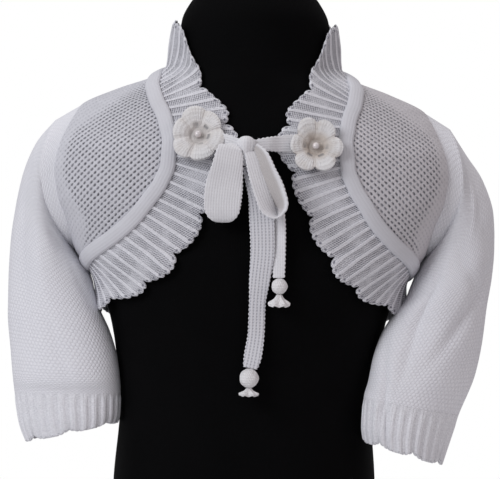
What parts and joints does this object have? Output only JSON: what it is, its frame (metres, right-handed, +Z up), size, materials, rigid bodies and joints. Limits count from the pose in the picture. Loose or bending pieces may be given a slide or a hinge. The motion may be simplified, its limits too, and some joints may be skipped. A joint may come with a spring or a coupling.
{
  "type": "knitted shrug on a torso form",
  "caption": "Child's short knitted shrug with elbow sleeves, a ribbed scalloped frill, crocheted flowers and a tied bow, worn by a limbless torso form.",
  "frame": {"origin": "middle of the torso form's flat base", "axes": "+Z up the form to its neck, the garment's open front towards -Y, the wearer's left towards +X"},
  "size_m": [0.3631, 0.1785, 0.424],
  "materials": {
    "knit": "matt",
    "openwork": "matt",
    "crochet": "matt",
    "pearl": "gloss",
    "form_cover": "matt"
  },
  "bodies": {
    "root": {"back": "openwork", "band_front_left": "knit", "band_front_right": "knit", "band_hem": "knit", "band_neck": "knit", "bobble_frill_long": "crochet", "bobble_frill_short": "crochet", "bobble_long": "crochet", "bobble_short": "crochet", "bow_knot": "knit", "bow_loop_left": "knit", "bow_loop_right": "knit", "cuff_left": "knit", "cuff_right": "knit", "flower_left": "crochet", "flower_right": "crochet", "frill_front_left": "knit", "frill_front_right": "knit", "frill_hem": "knit", "frill_neck": "knit", "front_left": "openwork", "front_right": "openwork", "pearl_left": "pearl", "pearl_right": "pearl", "sleeve_left": "knit", "sleeve_right": "knit", "tail_long": "knit", "tail_short": "knit", "tie_root_left": "knit", "tie_root_right": "knit", "torso_form": "form_cover"}
  },
  "joints": []
}
